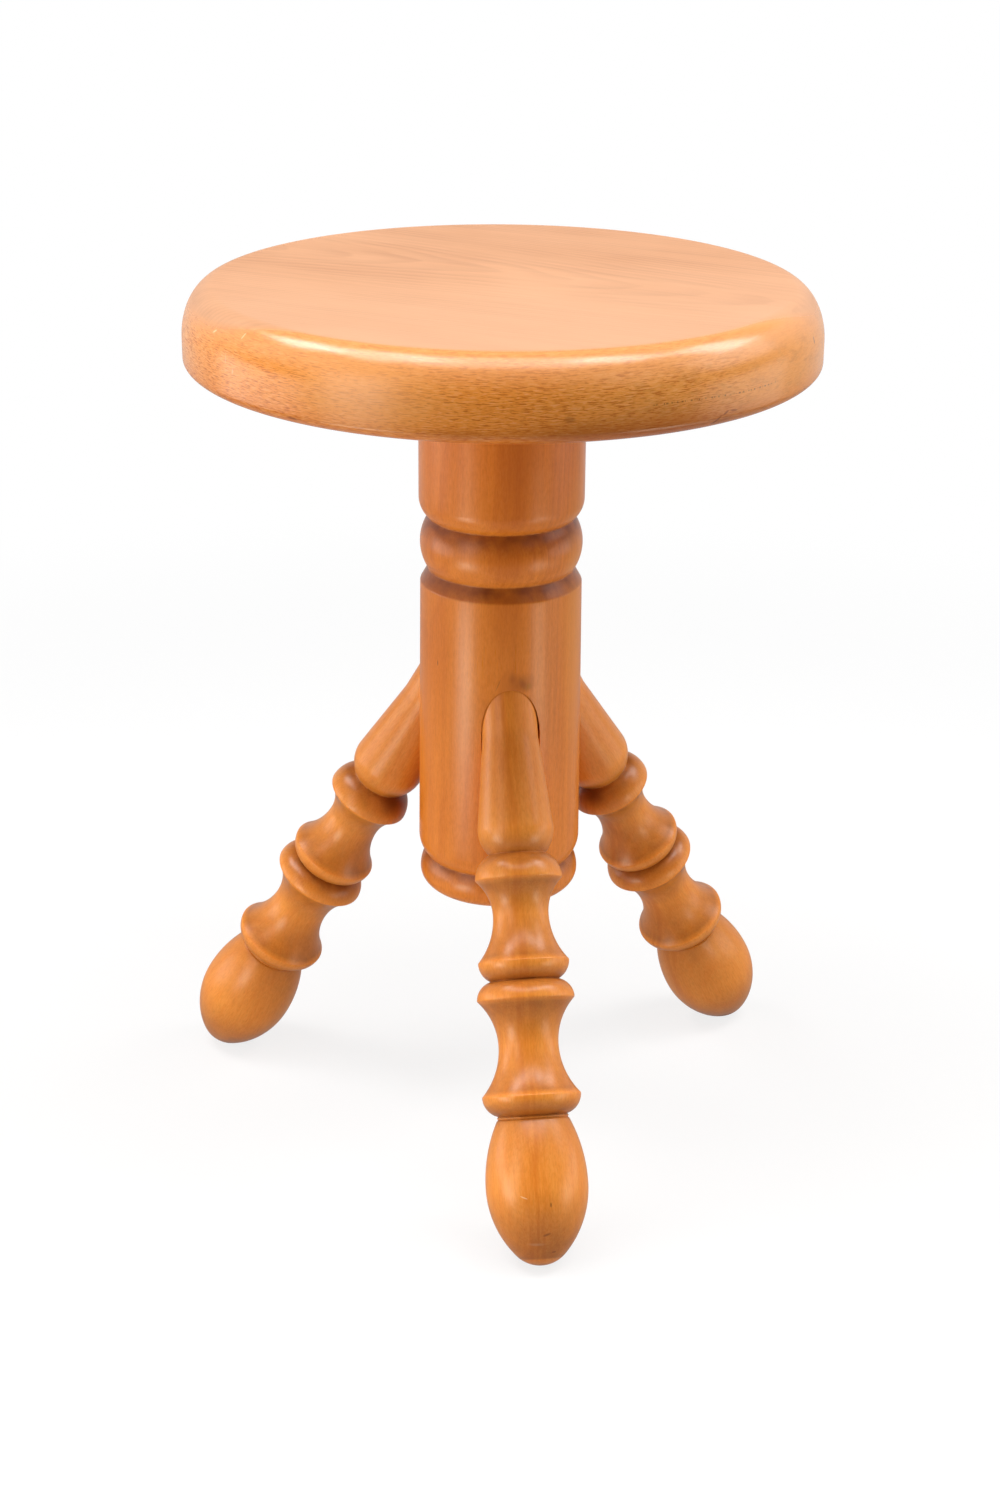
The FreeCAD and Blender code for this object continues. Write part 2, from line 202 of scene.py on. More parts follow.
seat = dict(
    radius=156.0, thickness=41.0,
    topEdge=(16.0, 24.0),      # radial and upright size of the top edge's round
    underEdge=(16.0, 7.0),
    mortise=(25.2, 28.5),      # radius and depth
    grime=dict(reach=1.0, depth=9.0, upwards=1, upShare=0.0, fromRadius=40.0, blur=1.0),
    columns=360,
)


def makeSeat():
    # one profile from the mortise's floor, round the underside and the rim, to the middle of the top
    foot = stance["overallHeight"] - seat["thickness"]
    r, top = seat["radius"], stance["overallHeight"]
    (tw, th), (uw, uh), (mr, md) = seat["topEdge"], seat["underEdge"], seat["mortise"]
    outside = np.concatenate([
        straightEdge((0, foot + md), (mr, foot + md)),
        straightEdge((mr, foot + md), (mr, foot)),
        straightEdge((mr, foot), (r - uw, foot)),
        roundCorner((r - uw, foot), (r, foot + uh), (r - uw, foot + uh), uw, uh),
        straightEdge((r, foot + uh), (r, top - th)),
        roundCorner((r, top - th), (r - tw, top), (r - tw, top - th), tw, th),
        straightEdge((r - tw, top), (0, top)),
    ])
    grid = turnedGrid(easedProfile(outside, seat["grime"]), seat["columns"])
    piece = solidFrom("seat_disc", [grid])
    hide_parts("seat")
    return piece


leg = dict(
    tenonStart=38.0, tenonRadius=14.1, tenonChamfer=2.0,
    rows=[
        (39.0, 14.1, "line"),           # tenon
        (45.5, 19.1, "line"),           # barrel
        (12.6, 14.2, "levelStart"),
        (12.6, 21.8, "levelEnd"),       # first ring
        (17.8, 13.9, "levelEnd"),       # first cove
        (23.2, 22.7, "levelStart"),
        (9.4, 17.0, "levelStart"),
        (9.4, 24.3, "levelEnd"),        # third ring
        (22.6, 14.9, "levelEnd"),       # second cove
        (24.6, 24.5, "levelStart"),
        (9.9, 16.9, "levelStart"),
        (0.4, 17.7, "line"),            # thin fillet above the foot
        (0.8, 17.7, "line"),
        (0.3, 17.0, "line"),
        (0.4, 17.86, "line"),
        (32.3, 25.3, "levelEnd"),       # foot
    ],
    footLower=38.8,                     # from the foot's widest point to its tip
    sideSteps=400, tipSteps=200,
    columns=112,
    azimuths=dict(front=-90.0, right=30.0, left=150.0),
    grime=dict(reach=3.2, depth=3.4, upwards=-1, upShare=0.0, fromRadius=10.0, blur=0.6),
)


def legProfile():
    rows = [(leg["tenonChamfer"], leg["tenonRadius"], "line")] + leg["rows"]
    start = (leg["tenonRadius"] - leg["tenonChamfer"], leg["tenonStart"])
    body, widest = profileFrom(start, rows)
    # the foot: a side arc, level at its widest point, that touches the round tip. Its radius follows from
    # drop^2 + (side - radius)^2 = (side - tip)^2
    tip, radius = stance["footTip"], widest[0]
    drop = leg["footLower"] - tip
    side = (drop**2 + radius**2 - tip**2) / (2 * (radius - tip))
    touch = math.atan2(drop, side - radius)
    angle = np.linspace(0, touch, leg["sideSteps"])[:, None]
    lower = np.array([radius - side, widest[1]]) + side * np.hstack([np.cos(angle), np.sin(angle)])
    angle = np.linspace(touch, math.pi / 2, leg["tipSteps"])[:, None]
    cap = np.array([0, widest[1] + drop]) + tip * np.hstack([np.cos(angle), np.sin(angle)])
    return np.concatenate([straightEdge((0, start[1]), start), body, lower, cap])


def legAxes(azimuth):
    # along the leg, across it level with the floor, and square to both
    a = math.radians(azimuth)
    out = np.array([math.cos(a), math.sin(a), 0])
    along = out * math.sin(splay) + np.array([0, 0, -math.cos(splay)])
    side = np.cross([0, 0, 1], out)
    return along, side, np.cross(along, side)


def makeLeg(name, azimuth):
    # the leg's profile carried round its slanting line: x * side + y * front + run * along
    along, side, front = legAxes(azimuth)
    grid = turnedGrid(easedProfile(legProfile(), leg["grime"]), leg["columns"])
    placed = grid[..., :1] * side + grid[..., 1:2] * front + grid[..., 2:3] * along
    placed[..., 2] += pivotHeight
    placed[..., 2] = np.maximum(placed[..., 2], 0)     # the worn flat that the foot stands on
    placed = np.concatenate([placed, grid[..., 3:]], axis=2)
    piece = solidFrom("turned_leg_" + name, [placed])
    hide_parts("leg_" + name)
    return piece


drum = dict(start=28.0, rise=139.3, lowRadius=41.8, highRadius=40.9)     # the long lower part of the column
column = dict(
    baseRadius=33.0,
    rows=[
        (8.5, 41.1, "levelEnd"),       # bottom bead
        (9.7, 38.0, "levelStart"),
        (9.8, drum["lowRadius"], "levelEnd"),             # heel of the lower drum
        (drum["rise"], drum["highRadius"], "line"),       # lower drum
        (7.0, 36.9, "line"),           # shoulder
        (13.5, 41.0, "levelEnd"),      # bead
        (13.4, 36.7, "levelStart"),
        (10.0, 41.6, "levelEnd"),
    ],
    tenonRadius=25.0, tenonLength=27.0, tenonChamfer=2.0,
    columns=192,
    grime=dict(reach=7.0, depth=5.0, upwards=1, upShare=0.9, fromRadius=34.0, blur=0.9),
)
bore = dict(
    start=36.5, tenonEnd=79.0, barrelEnd=124.5,
    tenonRadius=14.45, mouthRadius=19.45,
    patchLow=48.0, patchHigh=132.0,    # rises between which the drum's skin is laid round the mouths
    sideRows=56, rings=26, ringSpread=1.8,            # above 1 the skin's rings crowd at the mouth
    lipRound=0.5, lipSteps=5, wallSteps=14, endSteps=5,
    # the mouth is sought in so many directions, between two runs, by halving the span so often
    mouthSteps=1441, mouthBetween=(50.0, 160.0), halvings=50,
)


def drumRadius(height):
    # the drum tapers evenly from its heel to its shoulder
    share = (height - columnFoot - drum["start"]) / drum["rise"]
    return drum["lowRadius"] * (1 - share) + drum["highRadius"] * share


def socketRadius(run, turn, name):
    # tenon bore, then a straight taper to the mouth; the front socket was cut a little wide on one side
    share = np.clip((run - bore["tenonEnd"]) / (bore["barrelEnd"] - bore["tenonEnd"]), 0, 1)
    radius = bore["tenonRadius"] + (bore["mouthRadius"] - bore["tenonRadius"]) * share
    return radius + slack(run, turn, name)


gapShapes = dict(
    # direction round the leg and half width in degrees, extra gap in mm, run where it is widest, spread
    front=[(2.0, 26.0, 1.3, 92.0, 20.0)],
    right=[],
    left=[],
)


def slack(run, turn, name):
    # each gap swells like a bell curve both round the leg and along it
    extra = 0 * run
    for centre, halfWidth, gap, widest, spread in gapShapes[name]:
        away = ((np.degrees(turn) - centre + 180) % 360 - 180) / halfWidth
        extra = extra + gap * np.exp(-away ** 2) * np.exp(-((run - widest) / spread) ** 2)
    return extra


def socketPatch(name, azimuth):
    # a third of the drum's skin with the slanting mouth in it: rays run from the mouth to the patch's edge
    along, side, front = legAxes(azimuth)
    pivot = np.array([0, 0, pivotHeight])
    scale = drum["lowRadius"]

    def boreAt(runs, turns):
        # pivot + run * along + radius * (cos * side + sin * front)
        reach = socketRadius(runs, turns, name)
        return pivot + runs[..., None] * along + reach[..., None] * (
            np.cos(turns)[..., None] * side + np.sin(turns)[..., None] * front)

    def unrolled(points):
        # (way round the drum from the leg's line, height)
        bearing = np.arctan2(points[:, 1], points[:, 0]) - math.radians(azimuth)
        bearing = (bearing + math.pi) % (2 * math.pi) - math.pi
        return np.stack([bearing * scale, points[:, 2]], axis=1)

    def onDrum(spots):
        # back from the unrolled skin: (radius * cos, radius * sin, height)
        angle, height = spots[..., 0] / scale + math.radians(azimuth), spots[..., 1]
        radius = drumRadius(height)
        return np.stack([radius * np.cos(angle), radius * np.sin(angle), height], axis=-1)

    # the mouth: for each direction round the leg, the run at which the bore comes out of the drum
    turn = np.linspace(0, 2 * math.pi, bore["mouthSteps"])
    low, high = (np.full(turn.shape, run) for run in bore["mouthBetween"])
    for _ in range(bore["halvings"]):
        run = (low + high) / 2
        point = boreAt(run, turn)
        inside = np.hypot(point[:, 0], point[:, 1]) < drumRadius(point[:, 2])
        low, high = np.where(inside, run, low), np.where(inside, high, run)
    flat = unrolled(point)
    heart = np.array([0, (flat[:, 1].min() + flat[:, 1].max()) / 2])
    # the patch's edge: whole columns along its top and bottom, even rows up its sides
    patches = len(leg["azimuths"])
    cols, rows = column["columns"] // patches, bore["sideRows"]
    bottom, top = columnFoot + bore["patchLow"], columnFoot + bore["patchHigh"]
    half = math.pi / patches * scale
    across, up = np.linspace(-half, half, cols + 1), np.linspace(bottom, top, rows + 1)
    edge = np.concatenate([
        np.stack([across[:-1], np.full(cols, bottom)], axis=1),
        np.stack([np.full(rows, half), up[:-1]], axis=1),
        np.stack([across[:0:-1], np.full(cols, top)], axis=1),
        np.stack([np.full(rows, -half), up[:0:-1]], axis=1),
    ])
    edge = np.concatenate([edge, edge[:1]])
    # the mouth point that lies in the same direction from the middle as each edge point
    direction = np.arctan2(*(edge - heart).T[::-1])
    mouthDirection = np.unwrap(np.arctan2(*(flat - heart).T[::-1]))
    order = slice(None, None, -1 if mouthDirection[-1] < mouthDirection[0] else 1)
    mouthDirection = mouthDirection[order]
    first = mouthDirection[0]
    turnAt = np.interp((direction - first) % (2 * math.pi) + first, mouthDirection, turn[order])
    runAt = np.interp(turnAt, turn, run)
    mouth = boreAt(runAt, turnAt)
    mouthFlat = unrolled(mouth)
    # skin: rings that start at the lip's outer edge and spread to the patch's edge
    lip = bore["lipRound"]
    outward = edge - mouthFlat
    length = np.linalg.norm(outward, axis=1)[:, None]
    share = np.linspace(0, 1, bore["rings"])[:, None, None] ** bore["ringSpread"]
    skin = onDrum(mouthFlat + outward * (lip / length + (1 - lip / length) * share))
    # lip: a quadratic curve from the skin, past the sharp corner, into the bore
    inner = boreAt(runAt - lip, turnAt)
    t = np.linspace(0, 1, bore["lipSteps"])[:, None, None]
    lipGrid = (1 - t) ** 2 * skin[0] + 2 * t * (1 - t) * mouth + t**2 * inner
    # bore wall down to its blind end, then the end itself
    deep = np.linspace(0, 1, bore["wallSteps"])[:, None]
    wall = boreAt((runAt - lip) * (1 - deep) + bore["start"] * deep, turnAt + 0 * deep)
    inwards = np.linspace(0, 1, bore["endSteps"])[:, None, None]
    end = wall[-1] * (1 - inwards) + (pivot + bore["start"] * along) * inwards
    return [skin, lipGrid, wall, end]


def makeColumn():
    # the turned profile below and above the patches, and between them one patch for each leg's socket
    top = stance["overallHeight"] - seat["thickness"]
    turned, last = profileFrom((column["baseRadius"], columnFoot), column["rows"])
    tenon, chamfer = column["tenonRadius"], column["tenonChamfer"]
    tenonTop = top + column["tenonLength"]
    whole = np.concatenate([
        straightEdge((0, columnFoot), (column["baseRadius"], columnFoot)),
        turned,
        straightEdge(last, (last[0], top)),
        straightEdge((last[0], top), (tenon, top)),
        straightEdge((tenon, top), (tenon, tenonTop - chamfer)),
        straightEdge((tenon, tenonTop - chamfer), (tenon - chamfer, tenonTop)),
        straightEdge((tenon - chamfer, tenonTop), (0, tenonTop)),
    ])
    eased = easedProfile(whole, column["grime"])
    lowCut, highCut = columnFoot + bore["patchLow"], columnFoot + bore["patchHigh"]
    firstAbove = np.argmax(eased[:, 1] > lowCut)
    firstOver = np.argmax(eased[:, 1] > highCut)
    lower = np.concatenate([eased[:firstAbove], [[drumRadius(lowCut), lowCut, 0]]])
    upper = np.concatenate([[[drumRadius(highCut), highCut, 0]], eased[firstOver:]])
    count = column["columns"]
    # the seams between the three patches lie midway between the legs
    halfPatch = 180 / len(leg["azimuths"])
    angles = np.radians(leg["azimuths"]["right"] - halfPatch) + np.linspace(0, 2 * math.pi, count + 1)
    grids = [turnedGrid(lower, count, angles), turnedGrid(upper, count, angles)]
    for name, azimuth in leg["azimuths"].items():
        grids += socketPatch(name, azimuth)
    piece = solidFrom("turned_column", grids)
    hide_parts("column")
    return piece


seatPiece = makeSeat()
columnPiece = makeColumn()
legPieces = {name: makeLeg(name, azimuth) for name, azimuth in leg["azimuths"].items()}


class Wire:
    # a socket that takes part in Python expressions
    def __init__(self, tree, socket):
        self.tree, self.socket = tree, socket

    def maths(self, operation, *others, first=None):
        values = (self,) + others if first is None else (first, self) + others
        node = self.tree.nodes.new("ShaderNodeMath")
        node.operation = operation
        for target, value in zip(node.inputs, values):
            if isinstance(value, Wire):
                self.tree.links.new(value.socket, target)
            else:
                target.default_value = value
        return Wire(self.tree, node.outputs[0])

    def __add__(self, other): return self.maths("ADD", other)
    def __radd__(self, other): return self.maths("ADD", other)
    def __sub__(self, other): return self.maths("SUBTRACT", other)
    def __rsub__(self, other): return self.maths("SUBTRACT", first=other)
    def __mul__(self, other): return self.maths("MULTIPLY", other)
    def __rmul__(self, other): return self.maths("MULTIPLY", other)
    def __truediv__(self, other): return self.maths("DIVIDE", other)
    def __rtruediv__(self, other): return self.maths("DIVIDE", first=other)
    def __neg__(self): return self.maths("MULTIPLY", -1.0)
    def __abs__(self): return self.maths("ABSOLUTE")


class Shader:
    # the node tree of a material or a world
    def __init__(self, owner):
        self.owner = owner
        owner.use_nodes = True
        self.tree = owner.node_tree
        self.tree.nodes.clear()

    def node(self, kind, settings=None, output=0, **inputs):
        # settings go on first; inputs are named with _ for a blank, or i and a number;
        # output None gives all outputs
        made = self.tree.nodes.new("ShaderNode" + kind)
        for key, value in (settings or {}).items():
            if key == "stops":
                self.setStops(made.color_ramp, value)
            else:
                setattr(made, key, value)
        for key, value in inputs.items():
            target = made.inputs[int(key[1:]) if key[1:].isdigit() else key.replace("_", " ")]
            if isinstance(value, Wire):
                self.tree.links.new(value.socket, target)
            else:
                target.default_value = value
        if output is None:
            return [Wire(self.tree, each) for each in made.outputs]
        return Wire(self.tree, made.outputs[output])

    def setStops(self, ramp, stops):
        while len(ramp.elements) < len(stops):
            ramp.elements.new(0.5)
        for element, (position, colour) in zip(ramp.elements, stops):
            element.position = position
            element.color = rgba(colour)

    def ramp(self, value, low, high):
        # 0 at low and before, 1 at high and beyond, smooth between; low may be the larger
        return self.node("MapRange", dict(interpolation_type="SMOOTHSTEP"),
                         Value=value, From_Min=low, From_Max=high)

    def noise(self, x, y, z, detail=2.0, roughness=0.5, distortion=0.0):
        # cloudy values around 0, about -0.5 to 0.5
        at = self.node("CombineXYZ", X=x, Y=y, Z=z)
        return self.node("TexNoise", dict(noise_dimensions="3D"), Vector=at, Scale=1.0,
                         Detail=detail, Roughness=roughness, Distortion=distortion) - 0.5

    def mix(self, factor, first, second):
        # second over first by factor
        second = second if isinstance(second, Wire) else rgba(second)
        return self.node("Mix", dict(data_type="RGBA"), output=2, i0=factor, i6=first, i7=second)

    def split(self, vector):
        return self.node("SeparateXYZ", output=None, i0=vector)

    def blot(self, where, centre, half, facing, tilt=0.0, soft=0.5):
        # 1 inside an ellipsoid, 0 outside; its half sizes go inwards, across and up; facing turns it
        # about the upright axis and tilt about the line inwards, in degrees
        placed = self.node(
            "Mapping", dict(vector_type="TEXTURE"), Vector=where, Location=tuple(v * mm for v in centre),
            Rotation=(math.radians(tilt), 0, math.radians(facing)), Scale=tuple(v * mm for v in half))
        far = self.node("VectorMath", dict(operation="LENGTH"), output=1, i0=placed)
        return self.ramp(far, 1.0, 1.0 - soft)

    def close(self, surface, kind="OutputMaterial"):
        self.node(kind, output=None, i0=surface)


def rgba(colour):
    return (*colour, 1.0)


beech = dict(
    pale=(0.86, 0.380, 0.090),
    light=(0.83, 0.300, 0.045),
    middle=(0.79, 0.243, 0.025),
    dark=(0.58, 0.140, 0.010),
    pore=(0.36, 0.080, 0.006),
    glint=(0.93, 0.480, 0.200),
    # colour of the painted shade and dirt in the grooves
    grooveShadeAndDirt=(0.20, 0.046, 0.008),
    worn=(0.22, 0.110, 0.060),
)


# how fine each figure of the wood is across the grain and along it, per millimetre
fineness = dict(
    wave=dict(across=0.030, along=0.008),
    patches=dict(across=0.04, along=0.010, detail=1.0),
    streak=dict(across=0.22, along=0.007, detail=4.0, roughness=0.62),
    cloud=dict(across=0.022, along=0.010),
    fibre=dict(across=1.7, along=0.07, roughness=0.6),
    lathe=dict(across=0.0, along=1.3, roughness=0.7),
    flecks=dict(across=1.3, along=0.32, detail=3.0, roughness=0.6),
    mottle=dict(across=0.15, along=0.15, detail=3.0),
)
beechFigure = dict(
    lateFrom=0.15, latest=0.9,          # share of a year ring where its late wood begins and is darkest
    patches=(-0.2, 0.1),                # the rings show in patches only
    dashes=(-0.06, 0.20), glints=(0.04, -0.22),       # dark and pale rays out of the same flecks
    stops=(0.0, 0.3, 0.6, 1.0),         # depths at which the stain is pale, light, middle and dark
    roughFibre=0.05, roughCloud=0.08,   # how much the roughness varies with each
    reliefFibre=0.3, reliefDashes=0.6, reliefStreak=0.4, bump=0.10, bumpHeight=0.0002,     # metres
    shadeAndDirtEven=0.9,                      # what the mottled painted shade and dirt has everywhere
)


def stainDepth(grain, shares):
    # how deep the stain looks: the base, and each figure by its share
    depth = shares["base"]
    for name in ("rings", "streak", "cloud", "fibre", "lathe"):
        if name in shares:
            depth = grain[name] * shares[name] + depth
    return depth


def woodShader(name, toGrain, tone, finish):
    # toGrain turns row coordinates so that Z runs along the grain; lengths in the shader are millimetres
    shader = Shader(bpy.data.materials.new(name))
    where = shader.node("TexCoord", output="Object")
    turned = shader.node("Mapping", dict(vector_type="POINT"), Vector=where,
                         Location=tuple(v / mm for v in toGrain[0]), Rotation=toGrain[1], Scale=(1 / mm,) * 3)
    x, y, z = shader.split(turned)
    look = beechFigure

    def figure(kind):
        fine = dict(fineness[kind])
        across, along = fine.pop("across"), fine.pop("along")
        return shader.noise(x * across, y * across, z * along, **fine)

    # year rings: distance from a pith line that slants a little against the grain, waved by a slow noise
    acrossPith, belowPith = x - tone["pith"][0], y - tone["pith"][1]
    fromPith = (acrossPith * acrossPith + belowPith * belowPith).maths("SQRT")
    phase = ((fromPith + z * tone["slant"] + figure("wave") * tone["wave"]) / tone["ringGap"]).maths("FRACT")
    late = shader.ramp(phase, look["lateFrom"], look["latest"]) * shader.ramp(phase, 1.0, look["latest"])
    grain = dict(along=z, across=x, rings=late * shader.ramp(figure("patches"), *look["patches"]))
    for kind in ("streak", "cloud", "fibre", "lathe"):
        grain[kind] = figure(kind)
    # beech rays: dense short strokes along the grain, dots where it is cut across, some dark, some pale
    flecks = figure("flecks")
    grain.update(dashes=shader.ramp(flecks, *look["dashes"]), glints=shader.ramp(flecks, *look["glints"]))
    stops = list(zip(look["stops"], (beech[each] for each in ("pale", "light", "middle", "dark"))))
    colour = shader.node("ValToRGB", dict(stops=stops), Fac=stainDepth(grain, tone))
    rough = tone["roughness"] + grain["fibre"] * look["roughFibre"] + grain["cloud"] * look["roughCloud"]
    colour = shader.mix(grain["dashes"] * tone["dash"], colour, beech["pore"])
    colour = shader.mix(grain["glints"] * tone["glint"], colour, beech["glint"])
    colour, rough = finish(shader, where, grain, colour, rough)
    # grooves and faces that look up under an overhang are darkened: painted shade, with some dirt
    grime = shader.node("Attribute", dict(attribute_name="grime"), output="Fac")
    paintedShadeAndDirt = grime * (figure("mottle") + look["shadeAndDirtEven"]) * tone["grime"]
    colour = shader.mix(paintedShadeAndDirt, colour, beech["grooveShadeAndDirt"])
    relief = (grain["fibre"] * look["reliefFibre"] - grain["dashes"] * look["reliefDashes"]
              + grain["streak"] * look["reliefStreak"])
    bump = shader.node("Bump", Strength=look["bump"], Distance=look["bumpHeight"], Height=relief)
    surface = shader.node("BsdfPrincipled", Base_Color=colour, Roughness=rough, Normal=bump, IOR=tone["ior"])
    shader.close(surface)
    return shader.owner


def grainFrame(along, side, origin):
    # location and turn that take the piece's own axes (side, third, along) to X, Y, Z
    rows = Matrix([list(side), list(np.cross(along, side)), list(along)])
    return tuple(-(rows @ Vector(origin))), tuple(rows.to_euler("XYZ"))


markInwards = dict(least=5.0, share=0.3)     # how far a mark reaches inwards: mm, or a share of its width


def marksOfStainAndShade(shader, where, colour, marks):
    # each mark, of stain, wear or painted shade: centre in mm, half sizes across and up in mm, tilt in degrees,
    # softness, colour, strength
    for centre, (across, up), tilt, soft, tint, strength in marks:
        facing = math.degrees(math.atan2(centre[1], centre[0]))
        inwards = max(markInwards["least"], across * markInwards["share"])
        spot = shader.blot(where, centre, (inwards, across, up), facing, tilt, soft)
        colour = shader.mix(spot * strength, colour, tint)
    return colour


paleWood, grey = (0.93, 0.62, 0.34), (0.20, 0.13, 0.08)
brown, black, shade = (0.22, 0.055, 0.008), (0.05, 0.02, 0.008), (0.14, 0.034, 0.006)

seatLook = dict(
    tone=dict(pith=(18.0, -62.0), slant=0.075, wave=7.0, ringGap=2.9,
              base=0.38, streak=0.30, cloud=0.25, rings=0.05, fibre=0.10,
              dash=0.08, glint=0.06, grime=0.5, roughness=0.25, ior=1.5),
    figure=dict(base=0.28, rings=0.36, streak=0.95, cloud=0.70, fibre=0.16),
    grainTurn=-34.65,
    topPale=(0.65, 0.316, 0.146), topStreak=(0.44, 0.186, 0.074),
    topRough=0.13,                     # the worn top is duller than the rim
    # the top's front and the rim's upper edge are paler: wear, with painted light on the top and a painted
    # highlight on the edge
    topWearAndLight=(0.72, 0.405, 0.236), edgeWearAndSheen=(0.76, 0.345, 0.150),
    endGrain=(0.74, 0.325, 0.078), endFigure=(0.50, 0.200, 0.042),
    lowStainAndShade=(0.50, 0.112, 0.008),
    sideWear=dict(inwards=10.0, down=12.0),      # how much further the wear reaches at the two sides, mm
    # the rim's wavy short strokes and the cloudy figure under them: fineness along, up and inwards, per mm
    strokes=dict(fine=(0.23, 1.90, 1.0), noise=dict(detail=2.0, roughness=0.55, distortion=0.5),
                 least=0.3, tint=(0.44, 0.086, 0.006)),
    mottle=dict(fine=(0.09, 0.20, 0.1), noise=dict(detail=4.0, roughness=0.68)),
    # where each change begins, where it is full, and its strength; mm unless said otherwise
    fades=dict(
        toSide=(0.70, 0.98, 1.0),      # share of the radius, left and right of the middle
        topInwards=(144.0, 139.0, 1.0), topUp=(440.0, 445.0, 1.0),
        topFront=(100.0, -150.0, 0.45),          # the top is paler towards the front: wear and painted light
        endGrain=(70.0, 135.0, 0.55),  # along the grain, from the middle
        mottle=(-0.04, 0.18, 0.8),     # of the noise's own value
        low=(425.0, 411.0, 0.46),      # the rim is darker towards its lower edge: stain and painted shade
        strokes=(48.0, 22.0, 1.0),     # degrees from the front, where the grain runs into the rim
        dash=(0.0, 0.16, 0.72), glint=(-0.02, -0.18, 0.34),       # of the noise's own value
        # the rim's upper rounded edge paler: wear and painted highlight
        edge=(432.0, 446.0, 0.55),
        polish=(430.0, 438.0, 0.04),   # hands have polished the upper edge
        outside=(150.0, 152.0, 1.0), dots=(-0.02, 0.10, 1.0),
    ),
    marks=[
        # broad changes round the front of the rim, darker low down, paler at the upper left: partly stain,
        # partly painted shade and painted light
        ((-6.0, -155.8, 422.0), (50.0, 22.0), 0, 0.9, (0.62, 0.175, 0.014), 0.08),
        ((8.0, -155.8, 413.0), (44.0, 12.0), 0, 0.9, (0.34, 0.085, 0.008), 0.5),
        ((99.0, -120.5, 411.0), (40.0, 14.0), 0, 0.9, (0.42, 0.115, 0.010), 0.30),
        ((54.0, -146.0, 410.0), (76.0, 19.0), 0, 0.95, (0.36, 0.082, 0.006), 0.80),
        ((-80.0, -134.0, 431.0), (60.0, 26.0), 0, 0.97, (0.92, 0.430, 0.150), 0.52),
        ((-38.0, -151.0, 415.0), (26.0, 5.0), 0, 0.9, (0.34, 0.085, 0.008), 0.3),
        # small dark spots
        ((8.8, -155.7, 422.4), (3.6, 2.2), 0, 0.8, brown, 0.45),
        ((-109.6, -110.4, 414.2), (4.5, 1.0), -6, 0.7, brown, 0.7),
        # a short crooked crack, and a painted shadow under it
        ((78.6, -134.2, 414.6), (4.4, 0.8), 36, 0.7, brown, 0.85),
        ((83.3, -131.9, 417.3), (2.6, 0.7), 26, 0.7, brown, 0.8),
        ((87.5, -129.1, 417.7), (3.2, 0.7), -6, 0.7, brown, 0.7),
        ((83.5, -131.9, 413.8), (6.5, 3.0), 10, 0.9, brown, 0.3),
        # a grey dent, and scratches down to the pale wood
        ((137.5, -71.3, 434.7), (0.9, 2.1), 0, 0.4, grey, 0.8),
        ((-141.2, -56.2, 441.8), (1.9, 0.5), 28, 0.4, paleWood, 0.85),
        ((-129.0, -77.4, 444.2), (0.5, 2.0), -22, 0.5, paleWood, 0.85),
        ((-134.5, -78.9, 428.3), (0.9, 1.8), -10, 0.8, paleWood, 0.4),
        ((-138.0, -73.0, 433.0), (0.35, 3.2), 12, 0.6, paleWood, 0.3),
    ],
    # a dotted line of pin holes round the rim: its height, width and wave, its first and last direction
    holes=dict(height=425.6, width=0.6, wave=0.6, waves=9.0, start=-73.0, end=-43.5, taper=0.02,
               fine=120.0, strength=0.8),
)


